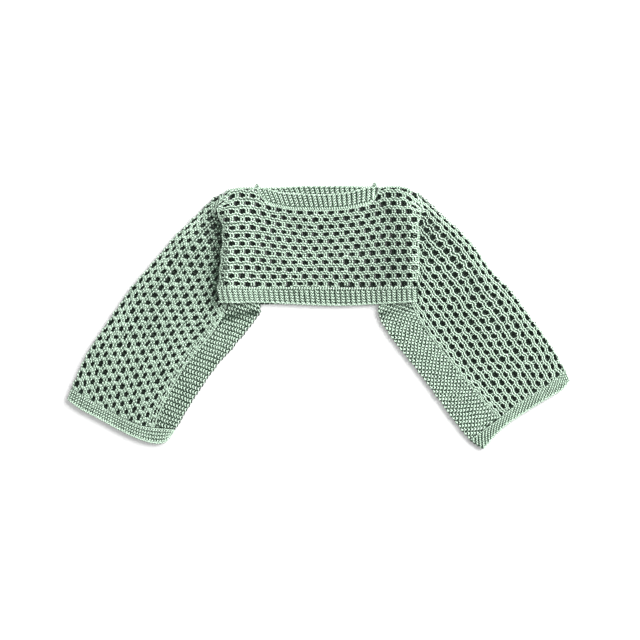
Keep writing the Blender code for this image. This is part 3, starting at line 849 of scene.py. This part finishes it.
class CuffRing:
    """A cuff band, a flattened ring. Places are given by the share across it from its seam and by
    the distance round it, which starts at the outer fold and runs along the upper layer."""

    def __init__(self, name):
        self.look = CUFFS[name]
        side = SIDES[name]
        seam, free = smooth_line(CUFF_SEAM[name]), smooth_line(CUFF_EDGE[name])
        inset = FOLD_INSET / length_of(seam)
        seam = beside(stretch_of(seam, inset, 1 - inset), side * SEAM_INSET)
        free = beside(stretch_of(free, inset, 1 - inset), -side * 1.7)
        self.plan = patch(seam, free, straight(seam(0.0), free(0.0)), straight(seam(1.0), free(1.0)))
        self.length = length_of(seam)
        self.around = 2 * self.length + 4 * FOLD_LENGTH

    def surface(self, share, distance):
        share = np.clip(share, 0.0, 1.0)
        distance = np.mod(distance, self.around)
        length, fold = self.length, 2 * FOLD_LENGTH
        corners = [0, length, length + fold, 2 * length + fold, self.around]
        over = np.interp(distance, corners, [0, 1, 1, 0, 0])
        turn = np.interp(distance, corners, [0, 0, math.pi, math.pi, 2 * math.pi])
        further = np.where(over < 0.5, over + 0.01, over - 0.01)
        out = unit(self.plan(share, over) - self.plan(share, further))
        reach = np.abs(np.sin(turn))
        point = self.plan(share, over) + out * (FOLD_RADIUS * reach)[..., None]
        height = LAYER_MID + FOLD_RADIUS * np.cos(turn)
        return in_space(point, height), in_space(out * reach[..., None], np.cos(turn))

    def runs(self, upper, count):
        """Garter courses round the cuff. A slant makes them narrow columns, which lean."""
        runs = []
        fold = 2 * FOLD_LENGTH
        start, end = (-fold, self.length + fold) if upper else (self.length + fold, self.around - fold)
        slant = self.look.slant if upper else 0.0
        for course in range(CUFF_COURSES):
            if slant:
                line = rib_course(start - 1.2 * slant, end, count, CUFF_LOOP, CUFF_STITCH)
            else:
                line = garter_course(start, end, count, CUFF_LOOP, course % 2 == 0, LIE_LEFT)
            around, across, height = line.T
            share = (course + 0.5) / CUFF_COURSES + across / self.look.width
            around = around + slant * share
            inside = (share > -0.05) & (share < 1.05) & (around > start - 1.0) & (around < end + 1.0)
            point, normal = self.surface(share, around)
            rise = height * (1.0 if upper else UNDER_FLATTEN)
            tone = column_tone(height) if slant else garter_tone(height)
            placed = point + normal * rise[:, None] + wobble(point, BAND_WOBBLE)
            runs += runs_of(placed, tone - self.look.dim, inside)
        return runs

    def ground(self, name, material):
        columns, rows = 4, 120

        def place(i, j):
            point, normal = self.surface(0.04 + 0.92 * i / columns, j / rows * self.around)
            return point - normal * np.where(normal[:, 2:] > -0.5, DENSE_SHEET_DROP, 0.0)
        return painted_shade_sheet(name, columns, rows, place, material)

    def edge(self, share, height=0.0):
        point, normal = self.surface(np.full(400, share), np.linspace(0, self.around, 400))
        return point + normal * height


class RibBand:
    """A hem or neck band between its seam, set off by a gap, and its free edge. base gives the height
    of its mid-surface, and drop how far its sheet lies below that."""

    def __init__(self, seam, gap, free, base, drop, slant=0.0, dim=0.0, soften=0.0):
        self.base, self.drop, self.slant, self.dim, self.soften = base, drop, slant, dim, soften
        near, far = beside(smooth_line(seam, by_x=True), gap), smooth_line(free, by_x=True)
        self.plan = patch(straight(near(0.0), far(0.0)), straight(near(1.0), far(1.0)), near, far)
        self.length = max(length_of(near), length_of(far))

    def surface(self, along, down):
        point = self.plan(np.clip(along / self.length, 0.0, 1.0), np.clip(down, 0.0, 1.0))
        return in_space(point, self.base(point[..., 0], point[..., 1]))

    def runs(self, count, loop, flatten, chain):
        """Rib courses, count points a stitch and each loop twice loop long. The one along the near edge
        is a chain ridge where chain is true. Where they soften, the ribs are shallower in tone towards
        the left."""
        runs = []
        pitch = float(np.linalg.norm(self.plan(0.5, 1.0) - self.plan(0.5, 0.0))) / BAND_COURSES
        for course in range(BAND_COURSES):
            if chain and course == 0:
                line = garter_course(1.5, self.length - 1.5, count + 2, 1.4 * loop, True, (0.8, 0.0))
            else:
                line = rib_course(1.5, self.length - 1.5, count, loop)
            along, across, height = line.T
            down = (course + 0.5 - across / pitch) / BAND_COURSES
            point = self.surface(along + self.slant * (down - 0.5), down)
            soft = self.soften * ease(point[:, 0], -50.0, -130.0)
            ends = np.minimum(along, self.length - along)
            tone = rib_tone(height) * (1 - 0.5 * soft) + 0.36 * soft - self.dim - bell(ends, 0.4, 4.0)
            point = point + wobble(point, BAND_WOBBLE)
            point[:, 2] += height * flatten
            runs += runs_of(point, tone, (down > -0.02) & (down < 0.98))
        return runs

    def ground(self, name, material):
        columns, rows = 90, 4

        def place(i, j):
            point = self.surface(1.0 + i / columns * (self.length - 2.0), 0.03 + 0.92 * j / rows)
            point[:, 2] -= self.drop
            return point
        return painted_shade_sheet(name, columns, rows, place, material)

    def edge(self, down):
        along = np.linspace(0.5, self.length - 0.5, 300)
        line = self.surface(along, np.full(300, down))
        line[:, 1] += 0.6 * np.sin(along / 1.9)
        return line


# ---- materials
class Value:
    """A socket of a shader tree that takes part in sums, on either side of a sign: a + 1, 1 - a."""

    def __init__(self, tree, socket):
        self.tree, self.socket = tree, socket

    def combine(self, operation, *others):
        node = self.tree.nodes.new("ShaderNodeMath")
        node.operation = operation
        for slot, term in zip(node.inputs, (self,) + others):
            plug(self.tree, slot, term)
        return Value(self.tree, node.outputs[0])

    def __add__(self, other):
        return self.combine("ADD", other)

    def __sub__(self, other):
        return self.combine("SUBTRACT", other)

    def __mul__(self, other):
        return self.combine("MULTIPLY", other)

    def __rsub__(self, other):
        return self * -1.0 + other

    __radd__ = __add__
    __rmul__ = __mul__

    def sine(self):
        return self.combine("SINE")

    def clamped(self, low, high):
        return self.combine("MAXIMUM", low).combine("MINIMUM", high)

    def ramp(self, low, high):
        """0 at low and 1 at high, also where low is the larger."""
        return ((self - low) * (1 / (high - low))).clamped(0.0, 1.0)


def plug(tree, slot, term):
    """Sets a socket to a number or colour, or links another node's output to it."""
    if isinstance(term, Value):
        tree.links.new(term.socket, slot)
    else:
        slot.default_value = term


class Finish:
    """A material under construction."""

    def __init__(self, name):
        self.material = bpy.data.materials.new(name)
        self.material.use_nodes = True
        self.tree = self.material.node_tree

    def node(self, kind, output=0, settings=(), **inputs):
        """Any node: its settings first, then its inputs, given by name or by number as in_0."""
        made = self.tree.nodes.new(kind)
        for key, value in dict(settings).items():
            setattr(made, key, value)
        for key, term in inputs.items():
            plug(self.tree, made.inputs[int(key[3:])] if key.startswith("in_") else made.inputs[key], term)
        return Value(self.tree, made.outputs[output])

    def attribute(self, name):
        return self.node("ShaderNodeAttribute", "Fac", settings={"attribute_name": name})

    def mix(self, factor, first, second):
        return self.node("ShaderNodeMix", 2, settings={"data_type": "RGBA"},
                         in_0=factor, in_6=first, in_7=second)

    def noise(self, scale, detail=2.0):
        place = self.node("ShaderNodeTexCoord", "Object")
        return self.node("ShaderNodeTexNoise", 0, Vector=place, Scale=scale, Detail=detail)

    def part(self, vector, output):
        return self.node("ShaderNodeSeparateXYZ", output, in_0=vector)

    def bump(self, strength, height):
        return self.node("ShaderNodeBump", "Normal", Strength=strength, Distance=0.0008, Height=height)

    def done(self, **inputs):
        for key, term in inputs.items():
            plug(self.tree, self.tree.nodes["Principled BSDF"].inputs[key.replace("_", " ")], term)
        return self.material


def opaque(colour, share=1.0):
    return (*(share * part for part in colour), 1.0)


def yarn_finish(name, deep, light, layered):
    """Matt cotton yarn: painted shade where it dips behind and painted highlight on the loops, with its own
    uneven colour, its plies twisted. Where asked, the faces between the two layers of cloth get painted
    shade."""
    finish = Finish(name)
    tone = finish.attribute("tone").clamped(-0.5, 1.0)
    patches = finish.noise(22.0)
    fuzz = finish.noise(900.0, 3.0)
    uneven = finish.noise(170.0)
    around = finish.part(finish.node("ShaderNodeUVMap", "UV", settings={"uv_map": "UVMap"}), "X")
    plies = (around * (2 * math.pi * PLIES) + finish.attribute("along") * (2 * math.pi / PLY_LAY)).sine()
    share = (tone * 0.9 + patches * 0.3 + uneven * 0.6 + fuzz * 0.2 + plies * 0.34 - 0.47).clamped(0.0, 1.0)
    colour = finish.mix(share, opaque(deep), opaque(light))
    if layered:
        # painted shade on the faces between the two layers of cloth
        level = finish.part(finish.node("ShaderNodeTexCoord", "Object"), "Z") * (1 / MM)
        inner_shade = level.ramp(*PAINTED_SHADE_ABOVE) * level.ramp(*PAINTED_SHADE_BELOW)
        colour = finish.mix(inner_shade * 0.9, colour, opaque(deep, 0.18))
    return finish.done(Base_Color=colour, Roughness=fuzz * 0.2 + 0.75, Sheen_Weight=0.2,
                       Sheen_Roughness=0.6, Specular_IOR_Level=0.25,
                       Normal=finish.bump(0.8, plies * 0.5 + fuzz * 0.6))


def painted_shade_finish(name, deep):
    """Painted shade: the dark inside of the knitting, seen between the yarns."""
    finish = Finish(name)
    fuzz = finish.noise(700.0, 3.0)
    share = (finish.noise(60.0) * 0.6 + fuzz * 0.4).clamped(0.0, 1.0)
    return finish.done(Base_Color=finish.mix(share, opaque(deep), opaque(deep, 1.8)), Roughness=0.9,
                       Specular_IOR_Level=0.2, Normal=finish.bump(0.6, fuzz))


def floor_finish():
    finish = Finish("pale floor")
    colour = finish.mix(finish.noise(30.0), opaque([0.90] * 3), opaque([0.93] * 3))
    return finish.done(Base_Color=colour, Roughness=0.9, Specular_IOR_Level=0.1)


# ---- settings and operators
class ShrugSettings(bpy.types.PropertyGroup):
    """Yarn and colours of the shrug."""
    net_yarn: FloatProperty(name="Net yarn", description="Thickness of the yarn in the net",
                            default=0.0029, unit="LENGTH", min=0.001, max=0.01)
    dense_yarn: FloatProperty(name="Dense yarn", description="Thickness in the strips and bands",
                              default=0.0023, unit="LENGTH", min=0.001, max=0.01)
    # deep is the yarn's own darker colour and its painted shade where it dips behind; light its own lighter
    # colour and its painted highlight on the loops
    deep: FloatVectorProperty(name="Deep colour", description="Yarn colour where it dips behind",
                              default=(0.026, 0.070, 0.036), size=3, subtype="COLOR")
    light: FloatVectorProperty(name="Light colour", description="Yarn colour on the loops",
                               default=(0.74, 0.95, 0.77), size=3, subtype="COLOR")
    # the colour of the dark sheets, painted shade seen between the yarns
    shade: FloatVectorProperty(name="Ground colour", description="Cloth between the yarns",
                               default=(0.011, 0.019, 0.014), size=3, subtype="COLOR")


def net_thickness():
    return bpy.context.scene.shrug.net_yarn / MM


def dense_thickness():
    return bpy.context.scene.shrug.dense_yarn / MM


def finish_named(name):
    """The material of that name, made when it is first asked for."""
    chosen = bpy.context.scene.shrug
    if name in bpy.data.materials:
        return bpy.data.materials[name]
    if name == "sage painted shade":
        return painted_shade_finish(name, chosen.shade)
    return yarn_finish(name, chosen.deep, chosen.light, name == "sage yarn")


def hand_over(node, parts, panel, finish="sage yarn"):
    """Joins a piece's yarn and lays its dark sheet of painted shade, puts both under the root and hides
    the node's part of the frame."""
    yarn = joined(f"{node}_yarn", parts, finish_named(finish))
    ground, area = panel.ground(f"{node}_sheet", finish_named("sage painted shade"))
    for piece in (yarn, ground):
        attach(piece, "root")
        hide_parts(node)


def top_cord_line(neck, base):
    """The line of the cord along a panel's top edge."""
    x = np.linspace(-206, 206, 260)
    y = top_level(neck, x) - 2.4
    return np.column_stack([x, y, base(x, y)])


class SHRUG_OT_front(bpy.types.Operator):
    """Knits the front"""
    bl_idname = "shrug.front"
    bl_label = "Front"

    def execute(self, context):
        thick = net_thickness()
        panel = LevelPanel(FRONT_SIDE, NECK_SEAM, True, -8.5)
        bars = bar_runs(panel, BAR_YARN, FRONT_POINTS[0], range(FRONT_ROWS))
        runs = ridge_runs(panel, FRONT_POINTS[1], range(-1, FRONT_ROWS))
        for name, side in SIDES.items():
            x, y = smooth_line(FRONT_SIDE[name])(np.linspace(0.16, 1, 110)).T
            x = x - side * (side_inset(y, True) + 1.1 + 1.5 * np.sin(y / 6.0))
            runs += edge_cord(np.column_stack([x, y, upper_base(x, y) - 1.0]), 1.0, tone=0.2)
        runs += edge_cord(top_cord_line(NECK_SEAM, upper_base) - [0, 0, 0.6], 1.0, tone=0.3)
        parts = [spin_yarn(bars, thick * FRONT_BAR_THICKNESS, 1), spin_yarn(runs, thick, 1)]
        hand_over("front", parts, panel)
        return {"FINISHED"}


class SHRUG_OT_back(bpy.types.Operator):
    """Knits the back, under the front"""
    bl_idname = "shrug.back"
    bl_label = "Back"

    def execute(self, context):
        base = level_base(UNDER_MID)
        panel = LevelPanel(INNER_END, BACK_NECK_SEAM, False, 6.0)
        runs = net_runs(panel, BACK_POINTS, range(FRONT_ROWS), range(-1, FRONT_ROWS))
        runs += edge_cord(top_cord_line(BACK_NECK_SEAM, base), 1.0, spacing=2.4)
        for name in SIDES:
            line = smooth_line(INNER_END[name])(np.linspace(0, 1, 100))
            runs += edge_cord(in_space(line, base(*line.T)), 1.0, spacing=2.4)
        parts = [spin_yarn(runs, net_thickness(), 0)]
        hand_over("back", parts, panel)
        return {"FINISHED"}


class SHRUG_OT_sleeves(bpy.types.Operator):
    """Knits the two sleeves, each folded along its outer edge"""
    bl_idname = "shrug.sleeves"
    bl_label = "Sleeves"

    def execute(self, context):
        thick = net_thickness()
        for name, look in SLEEVES.items():
            panel = SleevePanel(name)
            rows = look.rows
            bars = bar_runs(panel, BAR_YARN, SLEEVE_POINTS[0], range(rows))
            if look.style is CLOSE_NET:
                bars += bar_runs(panel, WIDE_BAR_YARN, WIDE_BAR_POINTS, range(rows), WIDE_BAR_DROP)
            upper = ridge_runs(panel, SLEEVE_POINTS[1], [*range(-1, rows - 1), rows - 1.25])
            seam, top = np.linspace(0.0, 1.0, 200), np.linspace(-0.4, 2.4, 60)
            upper += panel.seam_cord(seam, rows - 0.08, height=-0.9, radius=0.9, tone=0.3)
            upper += panel.seam_cord(0.012, top, height=0.4, radius=1.1, tone=0.65)
            under = net_runs(panel, SLEEVE_UNDER_POINTS, range(-rows, 0), range(-rows, -1))
            parts = [spin_yarn(bars, thick * look.bar_thickness, 1),
                     spin_yarn(upper, thick * look.ridge_thickness, 1), spin_yarn(under, thick, 0)]
            hand_over(f"sleeve_{name}", parts, panel)
        return {"FINISHED"}


class SHRUG_OT_strips(bpy.types.Operator):
    """Knits the two underarm strips"""
    bl_idname = "shrug.strips"
    bl_label = "Underarm strips"

    def execute(self, context):
        thick = dense_thickness()
        for name in SIDES:
            panel = StripPanel(name)
            upper = spin_yarn(panel.runs(True, STRIP_POINTS[0]), thick, 1)
            under = spin_yarn(panel.runs(False, STRIP_POINTS[1]), thick, 0)
            hand_over(f"gusset_{name}", [upper, under], panel)
        return {"FINISHED"}


class SHRUG_OT_cuffs(bpy.types.Operator):
    """Knits the two cuff bands"""
    bl_idname = "shrug.cuffs"
    bl_label = "Cuffs"

    def execute(self, context):
        thick = dense_thickness() * CUFF_THICKNESS
        for name, look in CUFFS.items():
            ring = CuffRing(name)
            upper = ring.runs(True, look.points) + edge_cord(ring.edge(1.0), 1.0)
            upper += edge_cord(ring.edge(0.0, -0.4), 0.9, spacing=3.0, tone=0.4)
            parts = [spin_yarn(upper, thick, 1), spin_yarn(ring.runs(False, CUFF_UNDER_POINTS), thick, 0)]
            hand_over(f"cuff_{name}", parts, ring)
        return {"FINISHED"}


class SHRUG_OT_hems(bpy.types.Operator):
    """Knits the two hem bands"""
    bl_idname = "shrug.hems"
    bl_label = "Hem bands"

    def execute(self, context):
        thick = dense_thickness()
        front = RibBand(HEM_SEAM, -0.2, HEM_EDGE, upper_base, 1.0, slant=5.0, dim=0.02, soften=1.0)
        runs = front.runs(8, 2.1, 1.0, chain=True) + edge_cord(front.edge(0.97), 0.8, tone=0.4)
        hand_over("hem_front", [spin_yarn(runs, thick, 1)], front,
                  "sage band yarn")
        back = RibBand(BACK_HEM_SEAM, -0.2, BACK_HEM_EDGE, level_base(UNDER_MID), 0.0)
        runs = back.runs(6, 2.1, -UNDER_FLATTEN, chain=True)
        runs += edge_cord(back.edge(0.96), 0.9, spacing=2.4)
        hand_over("hem_back", [spin_yarn(runs, thick, 0)], back)
        return {"FINISHED"}


class SHRUG_OT_necks(bpy.types.Operator):
    """Knits the two neck bands, with the ends of their yarn knotted at the shoulders"""
    bl_idname = "shrug.necks"
    bl_label = "Neck bands"

    def execute(self, context):
        thick = dense_thickness()
        front = RibBand(NECK_SEAM, 0.2, NECK_EDGE, upper_base, 1.0, slant=-7.0, dim=0.21)
        runs = front.runs(8, 2.0, 1.0, chain=True) + edge_cord(front.edge(0.97), 0.7, tone=0.3)
        hand_over("neck_front", [spin_yarn(runs, thick, 1)], front,
                  "sage band yarn")
        back = RibBand(BACK_NECK_SEAM, 0.2, BACK_NECK_EDGE, level_base(UNDER_MID + 0.3), 0.4,
                       slant=-8.0, dim=0.16)
        runs = back.runs(8, 2.1, 0.8, chain=False) + edge_cord(back.edge(0.97), 0.8, tone=0.35)
        parts = [spin_yarn(runs, thick, 1), spin_yarn(knot(*KNOTS[0]) + knot(*KNOTS[1]), thick * 1.3, 1)]
        hand_over("neck_back", parts, back, "sage band yarn")
        return {"FINISHED"}


class SHRUG_OT_stage(bpy.types.Operator):
    """Lays the floor and sets the lights and the camera"""
    bl_idname = "shrug.stage"
    bl_label = "Floor, lights and camera"

    def execute(self, context):
        scene = context.scene
        bpy.ops.object.select_all(action="DESELECT")
        bpy.ops.mesh.primitive_plane_add(size=12.0)
        floor = context.view_layer.objects.active
        floor.name = "floor"
        floor.data.materials.append(floor_finish())
        scene.world = bpy.data.worlds.new("studio")
        scene.world.use_nodes = True
        sky = scene.world.node_tree.nodes["Background"].inputs
        sky["Color"].default_value = (1.0, 1.0, 1.0, 1.0)
        sky["Strength"].default_value = 0.46
        self.softbox("key light", (4.5, 3.4, 2.9), 6.5, 1120.0)
        self.softbox("fill light", (-1.0, 0.4, 5.4), 4.0, 60.0)
        scene.view_settings.view_transform = "Standard"
        camera = bpy.data.objects.new("camera", bpy.data.cameras.new("camera"))
        scene.collection.objects.link(camera)
        camera.location = (*VIEW_MIDDLE, CAMERA_HEIGHT)
        camera.data.lens = camera.data.sensor_width * CAMERA_HEIGHT / VIEW_WIDTH
        camera.data.clip_end = 50.0
        scene.camera = camera
        return {"FINISHED"}

    def softbox(self, name, place, size, power):
        """A square light at a place, turned to the middle of the garment."""
        bpy.ops.object.select_all(action="DESELECT")
        bpy.ops.object.light_add(type="AREA", location=place)
        light = bpy.context.view_layer.objects.active
        light.name = name
        light.data.size = size
        light.data.energy = power
        light.rotation_euler = (-light.location).to_track_quat("-Z", "Y").to_euler()


class SHRUG_PT_sidebar(bpy.types.Panel):
    """Steps and settings of the shrug"""
    bl_idname = "SHRUG_PT_sidebar"
    bl_label = "Knitted shrug"
    bl_space_type = "VIEW_3D"
    bl_region_type = "UI"
    bl_category = "Shrug"

    def draw(self, context):
        for name in ShrugSettings.__annotations__:
            self.layout.prop(context.scene.shrug, name)
        for operator in OPERATORS:
            self.layout.operator(operator.bl_idname)


OPERATORS = (SHRUG_OT_stage, SHRUG_OT_back, SHRUG_OT_sleeves, SHRUG_OT_strips, SHRUG_OT_cuffs,
             SHRUG_OT_front, SHRUG_OT_hems, SHRUG_OT_necks)


def register():
    for known in (ShrugSettings,) + OPERATORS + (SHRUG_PT_sidebar,):
        bpy.utils.register_class(known)
    bpy.types.Scene.shrug = PointerProperty(type=ShrugSettings)


def unregister():
    del bpy.types.Scene.shrug
    for known in (SHRUG_PT_sidebar,) + OPERATORS[::-1] + (ShrugSettings,):
        bpy.utils.unregister_class(known)


def main():
    register()
    for operator in OPERATORS:
        family, name = operator.bl_idname.split(".")
        getattr(getattr(bpy.ops, family), name)()


if __name__ == "__main__":
    main()
